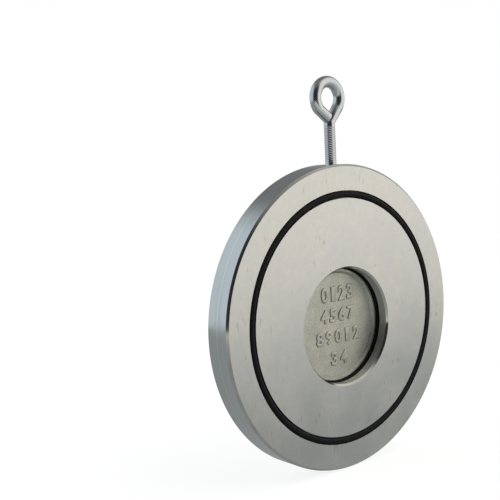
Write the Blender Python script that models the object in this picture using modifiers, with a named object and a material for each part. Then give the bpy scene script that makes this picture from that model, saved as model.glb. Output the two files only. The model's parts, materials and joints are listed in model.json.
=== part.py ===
"""Wafer check valve: a flat ring clamped between two pipe flanges, with one hinged flap behind its bore.

Metres, +Z up. The pipe runs along Y: the upstream face looks to -Y, the flow pushes the flap to +Y.
The origin is the middle of the body on the pipe's axis. The eye bolt points up, the hinge lies along X.
"""

import math

import bmesh
import bpy
from mathutils import Matrix, Vector

# ---------------------------------------------------------------- driving dimensions
TOUCH_GAP = 0.0003  # between pieces that touch
RUNNING_GAP = 0.0002  # round a pin or bush that turns

BODY_DIAMETER = 0.142  # fits inside the bolts of the pipe flanges
BODY_LENGTH = 0.014  # face to face
RIM_CHAMFER = 0.001
BORE_DIAMETER = 0.054
BORE_DROP = 0.004  # the bore's axis below the body's axis, which leaves room for the hinge
BORE_CHAMFER = 0.0006
SEAT_DEPTH = 0.006  # upstream face to the seat

FLANGE_SEAL_INSET = 0.0138  # rim to the middle of the seal
FLANGE_SEAL_SECTION = 0.003
FLANGE_SEAL_PROUD = 0.0004

FLAP_RIM = 0.0065  # how far the flap reaches past the bore's edge
FLAP_CLEARANCE = 0.0015  # flap to the wall of its recess
FLAP_TOP_GAP = 0.0005  # flap's rim to the seat, taken up by the seal
FLAP_THICKNESS = 0.0059
FLAP_EDGE_CHAMFER = 0.0005
LIP_INSET = 0.0008  # the lip's outer side inside the bore's wall
LIP_WIDTH = 0.0016
LIP_BACK = 0.0014  # lip behind the seat
LIP_SLOPE = 0.0007
CAST_FACE_DROP = 0.0012  # cast face behind the lip
REAR_DISH_DEPTH = 0.0014
REAR_DISH_WALL = 0.0044  # dish's side inside the lip's outer side
FLAP_SEAL_SECTION = 0.004

HINGE_RISE = 0.008  # hinge axis above the flap's top edge
HINGE_BEHIND_SEAT = 0.002
PIN_DIAMETER = 0.004
PIN_CHAMFER = 0.0004
BUSH_WALL = 0.0007
KNUCKLE_WALL = 0.0015
KNUCKLE_WIDTH = 0.0065
KNUCKLE_SPACING = 0.014  # between the two knuckles, where the spring sits
THRUST_WASHER_THICKNESS = 0.0008
THRUST_WASHER_WALL = 0.0017
POCKET_CLEARANCE = 0.0005
POCKET_CORNER = 0.0012

PIN_BEARING_LENGTH = 0.0062  # of the pin in the body's slot, each side
KEEPER_THICKNESS = 0.0022
KEEPER_WIDTH = 0.009
KEEPER_LENGTH = 0.015
KEEPER_CORNER = 0.0015
SCREW_DIAMETER = 0.004
SCREW_LENGTH = 0.0085
SCREW_HEAD_DIAMETER = 0.0072
SCREW_HEAD_EDGE = 0.0002
SCREW_INSET = 0.0045  # screw's axis from the keeper's outer end
SOCKET_ACROSS_FLATS = 0.0025
SOCKET_DEPTH = 0.0012

SPRING_WIRE = 0.001
SPRING_TURNS = 7.25
SPRING_COIL_GAP = 0.00016  # between one turn and the next
SPRING_PIN_GAP = 0.0005  # coil to pin
SPRING_LEG_ON_FLAP = 0.0125  # how far the moving leg reaches below the hinge
SPRING_LEG_IN_POCKET = 0.0046  # how far the fixed leg reaches above the hinge

EYE_BOLT_THREAD = 0.0054
EYE_WIRE = 0.0053
EYE_BOLT_IN_BODY = 0.0105
EYE_NECK_RISE = 0.0202  # rim to the end of the thread
EYE_CENTRE_RISE = 0.03015  # rim to the middle of the eye
EYE_RADIUS = 0.0075  # middle of the wire
EYE_SHIFT = 0.0007  # eye's middle off the bolt's axis
THREAD_END_CHAMFER = 0.0008

# ---------------------------------------------------------------- derived places
BODY_RADIUS = BODY_DIAMETER / 2
BORE_RADIUS = BORE_DIAMETER / 2
UPSTREAM_Y = -BODY_LENGTH / 2
DOWNSTREAM_Y = BODY_LENGTH / 2
SEAT_Y = UPSTREAM_Y + SEAT_DEPTH

FLANGE_SEAL_RADIUS = BODY_RADIUS - FLANGE_SEAL_INSET
FLANGE_GROOVE_HALF = FLANGE_SEAL_SECTION / 2 + TOUCH_GAP
FLANGE_GROOVE_DEPTH = FLANGE_SEAL_SECTION - FLANGE_SEAL_PROUD + TOUCH_GAP

FLAP_RADIUS = BORE_RADIUS + FLAP_RIM
RECESS_RADIUS = FLAP_RADIUS + FLAP_CLEARANCE
FLAP_FRONT_Y = SEAT_Y + FLAP_TOP_GAP
FLAP_REAR_Y = FLAP_FRONT_Y + FLAP_THICKNESS
LIP_OUTER = BORE_RADIUS - LIP_INSET
LIP_INNER = LIP_OUTER - LIP_WIDTH
LIP_Y = SEAT_Y + LIP_BACK
CAST_FACE_Y = LIP_Y + CAST_FACE_DROP
REAR_DISH_RADIUS = LIP_OUTER - REAR_DISH_WALL
REAR_DISH_Y = FLAP_REAR_Y - REAR_DISH_DEPTH
FLAP_SEAL_RADIUS = LIP_OUTER + TOUCH_GAP + FLAP_SEAL_SECTION / 2
FLAP_SEAL_Y = SEAT_Y + TOUCH_GAP + FLAP_SEAL_SECTION / 2
FLAP_GROOVE_OUTER = FLAP_SEAL_RADIUS + FLAP_SEAL_SECTION / 2 + TOUCH_GAP
FLAP_GROOVE_Y = FLAP_SEAL_Y + FLAP_SEAL_SECTION / 2 + TOUCH_GAP

HINGE_Z = -BORE_DROP + FLAP_RADIUS + HINGE_RISE
HINGE_Y = SEAT_Y + HINGE_BEHIND_SEAT
PIN_RADIUS = PIN_DIAMETER / 2
BUSH_INNER = PIN_RADIUS + RUNNING_GAP
BUSH_OUTER = BUSH_INNER + BUSH_WALL
KNUCKLE_BORE = BUSH_OUTER + RUNNING_GAP
KNUCKLE_RADIUS = KNUCKLE_BORE + KNUCKLE_WALL
KNUCKLE_INNER_X = KNUCKLE_SPACING / 2
KNUCKLE_OUTER_X = KNUCKLE_INNER_X + KNUCKLE_WIDTH
WASHER_X = KNUCKLE_OUTER_X + TOUCH_GAP
POCKET_X = WASHER_X + THRUST_WASHER_THICKNESS + TOUCH_GAP
POCKET_TOP_Z = HINGE_Z + KNUCKLE_RADIUS + POCKET_CLEARANCE
POCKET_FLOOR_Y = HINGE_Y - KNUCKLE_RADIUS - POCKET_CLEARANCE
NECK_LOW_Z = -BORE_DROP + FLAP_GROOVE_OUTER + TOUCH_GAP
NECK_TOP_Z = HINGE_Z - KNUCKLE_RADIUS - POCKET_CLEARANCE

PIN_HALF = POCKET_X + PIN_BEARING_LENGTH
PIN_SLOT_RADIUS = PIN_RADIUS + TOUCH_GAP
PIN_SLOT_HALF = PIN_HALF + TOUCH_GAP
KEEPER_FLOOR_Y = HINGE_Y + PIN_RADIUS
KEEPER_Y = KEEPER_FLOOR_Y + TOUCH_GAP
KEEPER_TOP_Y = KEEPER_Y + KEEPER_THICKNESS
KEEPER_INNER_X = POCKET_X + TOUCH_GAP
KEEPER_OUTER_X = KEEPER_INNER_X + KEEPER_LENGTH
SCREW_X = KEEPER_OUTER_X - SCREW_INSET
SCREW_RADIUS = SCREW_DIAMETER / 2
SCREW_HEAD_RADIUS = SCREW_HEAD_DIAMETER / 2
SCREW_TIP_Y = KEEPER_TOP_Y - SCREW_LENGTH
SPRING_RADIUS = PIN_RADIUS + SPRING_PIN_GAP + SPRING_WIRE / 2
SPRING_PITCH = SPRING_WIRE + SPRING_COIL_GAP

# ---------------------------------------------------------------- fineness of the round shapes
BODY_STEPS = 96
SEAL_STEPS = 64
FLAP_STEPS = 64
SMALL_STEPS = 24
SEAL_SIDES = 8
OVERSHOOT = 0.002  # how far a cutter runs past the face that it opens


# ---------------------------------------------------------------- tools of the model
def clear_scene():
    for old in list(bpy.data.objects):
        bpy.data.objects.remove(old, do_unlink=True)


def new_collection(name):
    collection = bpy.data.collections.new(name)
    bpy.context.scene.collection.children.link(collection)
    return collection


def material(name, colour, roughness, metallic):
    made = bpy.data.materials.new(name)
    made.use_nodes = True
    shader = made.node_tree.nodes["Principled BSDF"]
    shader.inputs["Base Color"].default_value = (*colour, 1.0)
    shader.inputs["Roughness"].default_value = roughness
    shader.inputs["Metallic"].default_value = metallic
    return made


def add_object(name, data, collection, parent=None):
    made = bpy.data.objects.new(name, data)
    collection.objects.link(made)
    if parent is not None:
        made.parent = parent
        made.matrix_parent_inverse = parent.matrix_world.inverted()
    return made


def finish_part(part, finish, sharp_angle=30.0):
    part.data.materials.clear()
    part.data.materials.append(finish)
    part.data.shade_smooth()
    part.data.set_sharp_from_angle(angle=math.radians(sharp_angle))
    return part


def as_cutter(part):
    part.hide_render = True
    part.display_type = "WIRE"
    return part


def boolean(target, tool, operation):
    modifier = target.modifiers.new(f"{operation.lower()} {tool.name}", "BOOLEAN")
    modifier.operation = operation
    modifier.solver = "EXACT"
    modifier.object = tool
    return target


def cut(target, *tools):
    for tool in tools:
        boolean(target, as_cutter(tool), "DIFFERENCE")
    return target


def join(target, *tools):
    for tool in tools:
        boolean(target, as_cutter(tool), "UNION")
    return target


def mesh_from(build, name):
    """A mesh that a function fills through bmesh."""
    shape = bmesh.new()
    build(shape)
    bmesh.ops.recalc_face_normals(shape, faces=shape.faces)
    mesh = bpy.data.meshes.new(name)
    shape.to_mesh(mesh)
    shape.free()
    return mesh


def block(name, low, high, collection, corner=0.0):
    """A box between two corners. With a corner radius, its four edges along Y are rounded as milled."""
    low, high = Vector(low), Vector(high)

    def build(shape):
        bmesh.ops.create_cube(shape, size=1.0)
        bmesh.ops.scale(shape, vec=high - low, verts=shape.verts)
        bmesh.ops.translate(shape, vec=(high + low) / 2, verts=shape.verts)
        if corner:
            along_y = [e for e in shape.edges if abs((e.verts[0].co - e.verts[1].co).y) > (high - low).y / 2]
            bmesh.ops.bevel(
                shape, geom=along_y, offset=corner, segments=3, profile=0.5, affect="EDGES", material=-1
            )

    return add_object(name, mesh_from(build, name), collection)


def rod(name, start, end, radius, collection, steps=SMALL_STEPS, chamfer=0.0):
    """A round bar between two points."""
    start, end = Vector(start), Vector(end)
    length = (end - start).length

    def build(shape):
        bmesh.ops.create_cone(
            shape, cap_ends=True, segments=steps, radius1=radius, radius2=radius, depth=length
        )
        if chamfer:
            rims = [e for e in shape.edges if abs(e.verts[0].co.z - e.verts[1].co.z) < length / 2]
            bmesh.ops.bevel(
                shape, geom=rims, offset=chamfer, segments=1, profile=0.5, affect="EDGES", material=-1
            )
        turn = Vector((0, 0, 1)).rotation_difference(end - start).to_matrix().to_4x4()
        bmesh.ops.transform(shape, matrix=Matrix.Translation((start + end) / 2) @ turn, verts=shape.verts)

    return add_object(name, mesh_from(build, name), collection)


def turned(name, outline, collection, steps, centre=(0, 0, 0), closed=False, parent=None):
    """A shape turned about the pipe's direction through centre.

    The outline holds (radius, y) pairs from the upstream end to the downstream end; a closed outline
    makes a ring.
    """
    mesh = bpy.data.meshes.new(name)
    points = [(radius, 0.0, -y) for radius, y in outline]
    edges = [(i, i + 1) for i in range(len(points) - 1)]
    if closed:
        edges.append((len(points) - 1, 0))
    mesh.from_pydata(points, edges, [])
    part = add_object(name, mesh, collection)
    part.rotation_euler = (math.radians(90), 0, 0)
    part.location = centre
    screw = part.modifiers.new("turn", "SCREW")
    screw.axis = "Z"
    screw.steps = screw.render_steps = steps
    screw.use_merge_vertices = True
    screw.merge_threshold = 0.00001
    if parent is not None:
        bpy.context.view_layer.update()
        part.parent = parent
        part.matrix_parent_inverse = parent.matrix_world.inverted()
    return part


def o_ring(name, radius, section, centre, collection, steps, parent=None):
    """A rubber ring of round section, lying square to the pipe."""
    outline = [
        (radius + section / 2 * math.cos(turn), section / 2 * math.sin(turn))
        for turn in (2 * math.pi * k / SEAL_SIDES for k in range(SEAL_SIDES))
    ]
    return turned(name, outline, collection, steps, centre, closed=True, parent=parent)


def baked_curve(name, splines_points, radius, collection, resolution):
    """A round wire along points, made a mesh with its caps welded, ready to be joined to other shapes."""
    curve = bpy.data.curves.new(name, "CURVE")
    curve.dimensions = "3D"
    curve.bevel_depth = radius
    curve.bevel_resolution = resolution
    curve.use_fill_caps = True
    spline = curve.splines.new("POLY")
    spline.points.add(len(splines_points) - 1)
    for point, place in zip(spline.points, splines_points):
        point.co = (*place, 1.0)
    guide = add_object(name + "_guide", curve, collection)
    bpy.context.view_layer.update()
    mesh = bpy.data.meshes.new_from_object(guide.evaluated_get(bpy.context.evaluated_depsgraph_get()))
    shape = bmesh.new()
    shape.from_mesh(mesh)
    bmesh.ops.remove_doubles(shape, verts=shape.verts, dist=0.000001)
    bmesh.ops.recalc_face_normals(shape, faces=shape.faces)
    shape.to_mesh(mesh)
    shape.free()
    bpy.data.objects.remove(guide, do_unlink=True)
    return add_object(name, mesh, collection)


# ---------------------------------------------------------------- the body and its seals
def make_body(parts, cutters, finish):
    """One turned steel ring, bored off centre, with the flap's recess and the hinge pocket milled in."""
    inner = FLANGE_SEAL_RADIUS - FLANGE_GROOVE_HALF
    outer = FLANGE_SEAL_RADIUS + FLANGE_GROOVE_HALF
    depth = FLANGE_GROOVE_DEPTH
    half = [
        (0.0, UPSTREAM_Y),
        (inner, UPSTREAM_Y),
        (inner, UPSTREAM_Y + depth),
        (outer, UPSTREAM_Y + depth),
        (outer, UPSTREAM_Y),
        (BODY_RADIUS - RIM_CHAMFER, UPSTREAM_Y),
        (BODY_RADIUS, UPSTREAM_Y + RIM_CHAMFER),
    ]
    outline = half + [(radius, -y) for radius, y in reversed(half)]
    body = turned("valve_body", outline, parts, BODY_STEPS)
    axis = (0, 0, -BORE_DROP)

    bore = turned(
        "bore_cutter",
        [
            (0.0, UPSTREAM_Y - OVERSHOOT),
            (BORE_RADIUS + BORE_CHAMFER + OVERSHOOT, UPSTREAM_Y - OVERSHOOT),
            (BORE_RADIUS, UPSTREAM_Y + BORE_CHAMFER),
            (BORE_RADIUS, DOWNSTREAM_Y + OVERSHOOT),
            (0.0, DOWNSTREAM_Y + OVERSHOOT),
        ],
        cutters,
        FLAP_STEPS,
        axis,
    )
    recess = rod(
        "recess_cutter",
        (0, SEAT_Y, -BORE_DROP),
        (0, DOWNSTREAM_Y + OVERSHOOT, -BORE_DROP),
        RECESS_RADIUS,
        cutters,
        FLAP_STEPS,
    )
    hinge_pocket = block(
        "hinge_pocket_cutter",
        (-POCKET_X, POCKET_FLOOR_Y, NECK_TOP_Z),
        (POCKET_X, DOWNSTREAM_Y + OVERSHOOT, POCKET_TOP_Z),
        cutters,
        POCKET_CORNER,
    )
    neck_slot = block(
        "neck_slot_cutter",
        (-POCKET_X, SEAT_Y, NECK_LOW_Z),
        (POCKET_X, DOWNSTREAM_Y + OVERSHOOT + TOUCH_GAP, HINGE_Z),
        cutters,
    )
    pin_slot = rod(
        "pin_slot_cutter",
        (-PIN_SLOT_HALF, HINGE_Y, HINGE_Z),
        (PIN_SLOT_HALF, HINGE_Y, HINGE_Z),
        PIN_SLOT_RADIUS,
        cutters,
    )
    pin_way = block(
        "pin_way_cutter",
        (-PIN_SLOT_HALF, HINGE_Y, HINGE_Z - PIN_SLOT_RADIUS),
        (PIN_SLOT_HALF, KEEPER_FLOOR_Y + OVERSHOOT, HINGE_Z + PIN_SLOT_RADIUS),
        cutters,
    )
    cut(body, bore, recess, hinge_pocket, neck_slot, pin_slot, pin_way)

    for side, sign in (("left", -1), ("right", 1)):
        ends = sorted((sign * (POCKET_X - OVERSHOOT), sign * (KEEPER_OUTER_X + TOUCH_GAP)))
        pocket = block(
            f"{side}_keeper_pocket_cutter",
            (ends[0], KEEPER_FLOOR_Y, HINGE_Z - KEEPER_WIDTH / 2 - TOUCH_GAP),
            (ends[1], DOWNSTREAM_Y + 2 * OVERSHOOT, HINGE_Z + KEEPER_WIDTH / 2 + TOUCH_GAP),
            cutters,
            KEEPER_CORNER,
        )
        hole = rod(
            f"{side}_screw_hole_cutter",
            (sign * SCREW_X, SCREW_TIP_Y - TOUCH_GAP, HINGE_Z),
            (sign * SCREW_X, DOWNSTREAM_Y, HINGE_Z),
            SCREW_RADIUS + TOUCH_GAP,
            cutters,
        )
        cut(body, pocket, hole)

    eye_hole = rod(
        "eye_bolt_hole_cutter",
        (0, 0, BODY_RADIUS - EYE_BOLT_IN_BODY - TOUCH_GAP),
        (0, 0, BODY_RADIUS + OVERSHOOT),
        EYE_BOLT_THREAD / 2 + TOUCH_GAP,
        cutters,
    )
    cut(body, eye_hole)
    return finish_part(body, finish)


def make_flange_seals(parts, finish):
    """The two rubber rings that seal the body against the pipe flanges."""
    proud_y = BODY_LENGTH / 2 + FLANGE_SEAL_PROUD - FLANGE_SEAL_SECTION / 2
    for name, y in (("upstream_flange_seal", -proud_y), ("downstream_flange_seal", proud_y)):
        ring = o_ring(name, FLANGE_SEAL_RADIUS, FLANGE_SEAL_SECTION, (0, y, 0), parts, SEAL_STEPS)
        finish_part(ring, finish)


# ---------------------------------------------------------------- the flap
def make_flap(parts, cutters, hinge, finish):
    """One casting: the disc with its seal groove, a neck, and two knuckles that turn on the pin."""
    outline = [
        (0.0, CAST_FACE_Y),
        (LIP_INNER - LIP_SLOPE, CAST_FACE_Y),
        (LIP_INNER, LIP_Y),
        (LIP_OUTER, LIP_Y),
        (LIP_OUTER, FLAP_GROOVE_Y),
        (FLAP_GROOVE_OUTER, FLAP_GROOVE_Y),
        (FLAP_GROOVE_OUTER, FLAP_FRONT_Y),
        (FLAP_RADIUS - FLAP_EDGE_CHAMFER, FLAP_FRONT_Y),
        (FLAP_RADIUS, FLAP_FRONT_Y + FLAP_EDGE_CHAMFER),
        (FLAP_RADIUS, FLAP_REAR_Y - FLAP_EDGE_CHAMFER),
        (FLAP_RADIUS - FLAP_EDGE_CHAMFER, FLAP_REAR_Y),
        (REAR_DISH_RADIUS, FLAP_REAR_Y),
        (REAR_DISH_RADIUS - REAR_DISH_DEPTH, REAR_DISH_Y),
        (0.0, REAR_DISH_Y),
    ]
    flap = turned("flap", outline, parts, FLAP_STEPS, (0, 0, -BORE_DROP), parent=hinge)
    neck = block(
        "flap_neck_tool",
        (-KNUCKLE_OUTER_X, FLAP_FRONT_Y + FLAP_EDGE_CHAMFER, NECK_LOW_Z),
        (KNUCKLE_OUTER_X, FLAP_REAR_Y - FLAP_EDGE_CHAMFER, NECK_TOP_Z),
        cutters,
    )
    join(flap, neck)
    for side, sign in (("left", -1), ("right", 1)):
        ends = sorted((sign * KNUCKLE_INNER_X, sign * KNUCKLE_OUTER_X))
        arm = block(
            f"{side}_arm_tool",
            (ends[0], FLAP_FRONT_Y + 2 * FLAP_EDGE_CHAMFER, NECK_TOP_Z - OVERSHOOT),
            (ends[1], FLAP_REAR_Y - 2 * FLAP_EDGE_CHAMFER, HINGE_Z),
            cutters,
        )
        knuckle = rod(
            f"{side}_knuckle_tool",
            (ends[0], HINGE_Y, HINGE_Z),
            (ends[1], HINGE_Y, HINGE_Z),
            KNUCKLE_RADIUS,
            cutters,
            SMALL_STEPS + 8,
        )
        join(flap, arm, knuckle)
    pin_bore = rod(
        "knuckle_bore_cutter",
        (-KNUCKLE_OUTER_X - OVERSHOOT, HINGE_Y, HINGE_Z),
        (KNUCKLE_OUTER_X + OVERSHOOT, HINGE_Y, HINGE_Z),
        KNUCKLE_BORE,
        cutters,
    )
    cut(flap, pin_bore)
    return finish_part(flap, finish)


def make_flap_seal(parts, hinge, finish):
    """The rubber ring in the flap's groove, which closes on the seat round the bore."""
    place = (0, FLAP_SEAL_Y, -BORE_DROP)
    ring = o_ring("flap_seal", FLAP_SEAL_RADIUS, FLAP_SEAL_SECTION, place, parts, FLAP_STEPS, parent=hinge)
    return finish_part(ring, finish)


# ---------------------------------------------------------------- the hinge
def make_hinge_pin(parts, finish):
    """The stainless pin, laid in its two slots in the body."""
    ends = ((-PIN_HALF, HINGE_Y, HINGE_Z), (PIN_HALF, HINGE_Y, HINGE_Z))
    return finish_part(rod("hinge_pin", *ends, PIN_RADIUS, parts, chamfer=PIN_CHAMFER), finish)


def make_sleeve(name, inner_x, outer_x, bore, outer, parts, cutters, finish, parent):
    """A short tube on the hinge's axis: a bush or a thrust washer."""
    sleeve = rod(name, (inner_x, HINGE_Y, HINGE_Z), (outer_x, HINGE_Y, HINGE_Z), outer, parts)
    ends = sorted((inner_x, outer_x))
    hole = rod(
        name + "_bore_cutter",
        (ends[0] - OVERSHOOT, HINGE_Y, HINGE_Z),
        (ends[1] + OVERSHOOT, HINGE_Y, HINGE_Z),
        bore,
        cutters,
    )
    cut(sleeve, hole)
    if parent is not None:
        sleeve.parent = parent
        sleeve.matrix_parent_inverse = parent.matrix_world.inverted()
    return finish_part(sleeve, finish)


def make_bearings(parts, cutters, hinge, finish):
    """A plastic-lined bush in each knuckle, and a washer between each knuckle and the body."""
    for side, sign in (("left", -1), ("right", 1)):
        make_sleeve(
            f"{side}_bush",
            sign * KNUCKLE_INNER_X,
            sign * KNUCKLE_OUTER_X,
            BUSH_INNER,
            BUSH_OUTER,
            parts,
            cutters,
            finish,
            hinge,
        )
        make_sleeve(
            f"{side}_thrust_washer",
            sign * WASHER_X,
            sign * (WASHER_X + THRUST_WASHER_THICKNESS),
            BUSH_INNER,
            BUSH_INNER + THRUST_WASHER_WALL,
            parts,
            cutters,
            finish,
            None,
        )


def make_spring(parts, finish):
    """The closing spring.

    One leg rests on the pocket's floor, the coil sits round the pin, and the other leg presses on the
    back of the flap.
    """
    half = SPRING_TURNS * SPRING_PITCH / 2
    front_y = HINGE_Y - SPRING_RADIUS
    leg_tip_y = POCKET_FLOOR_Y + TOUCH_GAP + SPRING_WIRE / 2
    points = [
        (-half, leg_tip_y, HINGE_Z + SPRING_LEG_IN_POCKET),
        (-half, front_y, HINGE_Z + SPRING_LEG_IN_POCKET / 2),
    ]
    steps = round(SPRING_TURNS * 12)
    for k in range(steps + 1):
        turn = 2 * math.pi * SPRING_TURNS * k / steps
        points.append(
            (
                -half + SPRING_PITCH * SPRING_TURNS * k / steps,
                HINGE_Y - SPRING_RADIUS * math.cos(turn),
                HINGE_Z - SPRING_RADIUS * math.sin(turn),
            )
        )
    bottom_z = HINGE_Z - SPRING_RADIUS
    leg_y = FLAP_REAR_Y + TOUCH_GAP + SPRING_WIRE / 2
    bend = SPRING_WIRE
    for k in range(4):
        turn = math.pi / 2 * k / 3
        points.append((half, leg_y - bend + bend * math.sin(turn), bottom_z - bend + bend * math.cos(turn)))
    points.append((half, leg_y, HINGE_Z - SPRING_LEG_ON_FLAP))
    return finish_part(baked_curve("closing_spring", points, SPRING_WIRE / 2, parts, 2), finish, 60.0)


def make_keepers(parts, cutters, plate_finish, screw_finish):
    """A plate over each end of the pin, sunk below the flange face, and the screw that holds it."""
    for side, sign in (("left", -1), ("right", 1)):
        ends = sorted((sign * KEEPER_INNER_X, sign * KEEPER_OUTER_X))
        plate = block(
            f"{side}_pin_keeper",
            (ends[0], KEEPER_Y, HINGE_Z - KEEPER_WIDTH / 2),
            (ends[1], KEEPER_TOP_Y, HINGE_Z + KEEPER_WIDTH / 2),
            parts,
            KEEPER_CORNER,
        )
        cone = SCREW_HEAD_RADIUS - SCREW_RADIUS
        head_gap = TOUCH_GAP * math.sqrt(2)
        countersink = turned(
            f"{side}_countersink_cutter",
            [
                (0.0, KEEPER_Y - OVERSHOOT),
                (SCREW_RADIUS + TOUCH_GAP, KEEPER_Y - OVERSHOOT),
                (SCREW_RADIUS + TOUCH_GAP, KEEPER_TOP_Y - SCREW_HEAD_EDGE - cone - head_gap + TOUCH_GAP),
                (SCREW_HEAD_RADIUS + head_gap, KEEPER_TOP_Y - SCREW_HEAD_EDGE),
                (SCREW_HEAD_RADIUS + head_gap, KEEPER_TOP_Y + OVERSHOOT),
                (0.0, KEEPER_TOP_Y + OVERSHOOT),
            ],
            cutters,
            SMALL_STEPS,
            (sign * SCREW_X, 0, HINGE_Z),
        )
        cut(plate, countersink)
        finish_part(plate, plate_finish)

        screw = turned(
            f"{side}_keeper_screw",
            [
                (0.0, SCREW_TIP_Y),
                (SCREW_RADIUS - PIN_CHAMFER, SCREW_TIP_Y),
                (SCREW_RADIUS, SCREW_TIP_Y + PIN_CHAMFER),
                (SCREW_RADIUS, KEEPER_TOP_Y - SCREW_HEAD_EDGE - cone),
                (SCREW_HEAD_RADIUS, KEEPER_TOP_Y - SCREW_HEAD_EDGE),
                (SCREW_HEAD_RADIUS, KEEPER_TOP_Y),
                (0.0, KEEPER_TOP_Y),
            ],
            parts,
            SMALL_STEPS,
            (sign * SCREW_X, 0, HINGE_Z),
        )
        socket = rod(
            f"{side}_socket_cutter",
            (sign * SCREW_X, KEEPER_TOP_Y - SOCKET_DEPTH, HINGE_Z),
            (sign * SCREW_X, KEEPER_TOP_Y + OVERSHOOT, HINGE_Z),
            SOCKET_ACROSS_FLATS / math.sqrt(3),
            cutters,
            6,
        )
        cut(screw, socket)
        finish_part(screw, screw_finish)


# ---------------------------------------------------------------- the eye bolt
def make_eye_bolt(parts, cutters, finish):
    """A steel rod with a rolled thread, screwed into the rim, its end bent round into a lifting eye."""
    rim_z = BODY_RADIUS
    foot_z = rim_z - EYE_BOLT_IN_BODY
    neck_z = rim_z + EYE_NECK_RISE
    shank = rod(
        "eye_bolt", (0, 0, foot_z), (0, 0, neck_z), EYE_BOLT_THREAD / 2, parts, chamfer=THREAD_END_CHAMFER
    )
    centre_x, centre_z = -EYE_SHIFT, rim_z + EYE_CENTRE_RISE
    start, stop = math.radians(-42), math.radians(215)
    points = [(0.0, 0.0, neck_z - EYE_WIRE), (0.0, 0.0, neck_z)]
    steps = 22
    for k in range(steps + 1):
        turn = start + (stop - start) * k / steps
        points.append(
            (centre_x + EYE_RADIUS * math.cos(turn), 0.0, centre_z + EYE_RADIUS * math.sin(turn))
        )
    points.append((-EYE_WIRE * 0.3, 0.0, neck_z + EYE_WIRE * 0.35))
    eye = baked_curve("eye_tool", points, EYE_WIRE / 2, cutters, 3)
    join(shank, eye)
    return finish_part(shank, finish, 40.0)


# ---------------------------------------------------------------- the assembly
def main():
    clear_scene()
    parts = new_collection("wafer_check_valve")
    cutters = new_collection("cutters")

    zinc_steel = material("zinc plated steel", (0.62, 0.62, 0.59), 0.38, 1.0)
    cast_steel = material("zinc plated casting", (0.55, 0.55, 0.48), 0.6, 1.0)
    bright_zinc = material("bright zinc wire", (0.70, 0.73, 0.76), 0.2, 1.0)
    stainless = material("stainless steel", (0.60, 0.60, 0.60), 0.3, 1.0)
    rubber = material("nitrile rubber", (0.02, 0.02, 0.021), 0.6, 0.0)
    bearing = material("filled bearing plastic", (0.12, 0.10, 0.08), 0.5, 0.0)

    hinge = bpy.data.objects.new("flap_hinge", None)
    parts.objects.link(hinge)
    hinge.location = (0, HINGE_Y, HINGE_Z)
    bpy.context.view_layer.update()

    make_body(parts, cutters, zinc_steel)
    make_flange_seals(parts, rubber)
    make_flap(parts, cutters, hinge, cast_steel)
    make_flap_seal(parts, hinge, rubber)
    make_hinge_pin(parts, stainless)
    make_bearings(parts, cutters, hinge, bearing)
    make_spring(parts, stainless)
    make_keepers(parts, cutters, stainless, stainless)
    make_eye_bolt(parts, cutters, bright_zinc)


main()
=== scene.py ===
"""The looks of a wafer check valve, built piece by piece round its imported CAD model.

Metres, +Z up. The pipe runs along Y and the upstream face looks to -Y; the hinge lies along X.
"""

import json
import math

import bmesh
import bpy
from mathutils import Matrix, Vector


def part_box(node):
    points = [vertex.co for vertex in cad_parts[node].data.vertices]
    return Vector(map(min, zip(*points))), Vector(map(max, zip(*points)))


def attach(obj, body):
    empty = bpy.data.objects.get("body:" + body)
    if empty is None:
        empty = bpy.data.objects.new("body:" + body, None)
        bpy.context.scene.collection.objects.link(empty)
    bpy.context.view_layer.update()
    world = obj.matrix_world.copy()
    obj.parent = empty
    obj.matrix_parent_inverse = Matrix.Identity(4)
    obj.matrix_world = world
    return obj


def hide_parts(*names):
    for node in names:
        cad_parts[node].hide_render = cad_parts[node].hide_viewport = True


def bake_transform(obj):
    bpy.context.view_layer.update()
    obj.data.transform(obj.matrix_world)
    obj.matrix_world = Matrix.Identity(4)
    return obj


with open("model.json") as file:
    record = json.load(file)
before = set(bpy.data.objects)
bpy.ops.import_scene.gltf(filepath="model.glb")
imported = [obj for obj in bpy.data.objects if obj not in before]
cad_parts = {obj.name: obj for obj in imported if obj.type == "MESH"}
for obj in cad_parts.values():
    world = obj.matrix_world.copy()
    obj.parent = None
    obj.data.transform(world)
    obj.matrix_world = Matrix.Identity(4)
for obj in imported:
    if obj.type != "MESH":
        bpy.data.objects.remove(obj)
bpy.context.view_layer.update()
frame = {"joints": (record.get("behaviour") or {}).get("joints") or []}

# ---------------------------------------------------------------- valve body
# One steel ring, turned all over, its bore off centre so that the hinge fits above it. The flap's
# recess and the hinge pocket are milled into the downstream side. Zinc plated, dull on the faces;
# the rim keeps its fine turning lines and a scribed line round its middle.
body_low, body_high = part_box("valve_body")
body_radius = body_high.x
face_y = body_high.y
hinge_centre = Vector(frame["joints"][0]["pos_m"])
flap_low, flap_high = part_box("flap")
bore_z = flap_low.z + flap_high.x
seal_low, seal_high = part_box("upstream_flange_seal")
seal_groove_radius = seal_high.x - (seal_high.y - seal_low.y) / 2

BODY_STEPS = 256
BORE_STEPS = 144
BORE_RADIUS = 0.027
SEAT_DEPTH = 0.006
RIM_CHAMFER = 0.001
BORE_CHAMFER = 0.0009
SEAT_RELIEF = 0.0011
RECESS_CLEARANCE = 0.0015
MOUTH_CHAMFER = 0.0004
GROOVE_HALF_WIDTH = 0.0018
GROOVE_DEPTH = 0.0029
RIM_SUPPORT = 0.0002
BREAK_EDGE = 0.00012
REACH = 0.002
LINE_CORE = 0.00006
LINE_EDGE = 0.00022
WALL_TILT = 0.2
FACE_TILT = 0.95
CHAMFER_FINISH, RIM_FINISH, BORE_FINISH = 1, 2, 3


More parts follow.
